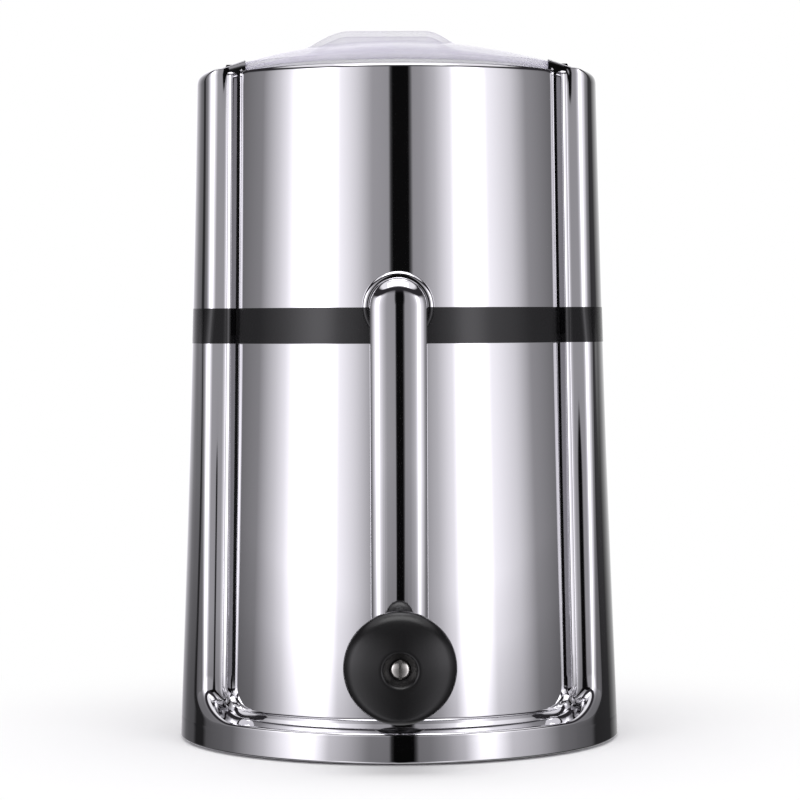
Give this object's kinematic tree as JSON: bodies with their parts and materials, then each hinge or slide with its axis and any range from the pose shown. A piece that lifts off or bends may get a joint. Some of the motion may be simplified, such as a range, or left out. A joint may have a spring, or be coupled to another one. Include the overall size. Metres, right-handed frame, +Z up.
{
  "type": "hand crank ice crusher",
  "caption": "Tall round ice crusher with plated shells, a black waist band, a clear lid, a front crank that turns a toothed rotor, and a slide-out ice drawer.",
  "frame": {"origin": "on the body's axis, in the plane of the foot ring's underside", "axes": "+Z up along the body, -Y towards the crank, +Y the way the drawer slides out, +X to the right for someone who faces the crank"},
  "size_m": [0.1596, 0.1891, 0.2558],
  "materials": {
    "plated": "mirror plated plastic",
    "black_plastic": "satin black",
    "frame_plastic": "moulded black",
    "rubber": "matt",
    "bronze": "turned",
    "steel": "stamped stainless",
    "zinc_steel": "zinc plated",
    "bright_screw": "bright",
    "clear_lid": "clear, faint lilac",
    "clear_cup": "clear"
  },
  "bodies": {
    "housing": {"upper_shell": "plated", "middle_band": "black_plastic", "lower_shell": "plated", "base_plate": "black_plastic", "foot_ring": "rubber", "hopper": "frame_plastic", "crusher_frame": "frame_plastic", "front_bushing": "bronze", "rear_bushing": "bronze", "left_comb": "steel", "right_comb": "steel", "base_screws": "zinc_steel", "tie_screws": "zinc_steel", "frame_screws": "zinc_steel", "comb_screws": "zinc_steel"},
    "crank": {"rotor_shaft": "steel", "rotor_blade_1": "steel", "rotor_blade_2": "steel", "rotor_blade_3": "steel", "rotor_blade_4": "steel", "rotor_blade_5": "steel", "rotor_sleeve_1": "zinc_steel", "rotor_sleeve_2": "zinc_steel", "rotor_sleeve_3": "zinc_steel", "rotor_sleeve_4": "zinc_steel", "rotor_sleeve_5": "zinc_steel", "rotor_sleeve_6": "zinc_steel", "shaft_washer": "zinc_steel", "shaft_clip": "zinc_steel", "crank_arm": "plated", "hub_pin": "zinc_steel", "knob_washer": "zinc_steel", "knob_screw": "bright_screw"},
    "knob": {"knob": "black_plastic"},
    "lid": {"lid": "clear_lid"},
    "drawer": {"ice_cup": "clear_cup", "container_front": "plated", "container_screws": "zinc_steel"}
  },
  "joints": [
    {"name": "crank_turn", "type": "hinge", "parent": "housing", "child": "crank", "pos_m": [0, -0.0776, 0.156], "axis": [0, -1, 0], "continuous": true},
    {"name": "knob_spin", "type": "hinge", "parent": "crank", "child": "knob", "pos_m": [0, -0.1, 0.036], "axis": [0, -1, 0], "continuous": true},
    {"name": "lid_lift", "type": "slide", "parent": "housing", "child": "lid", "axis": [0, 0, 1], "range_m": [0, 0.04]},
    {"name": "drawer_slide", "type": "slide", "parent": "housing", "child": "drawer", "axis": [0, 1, 0], "range_m": [0, 0.12]}
  ]
}
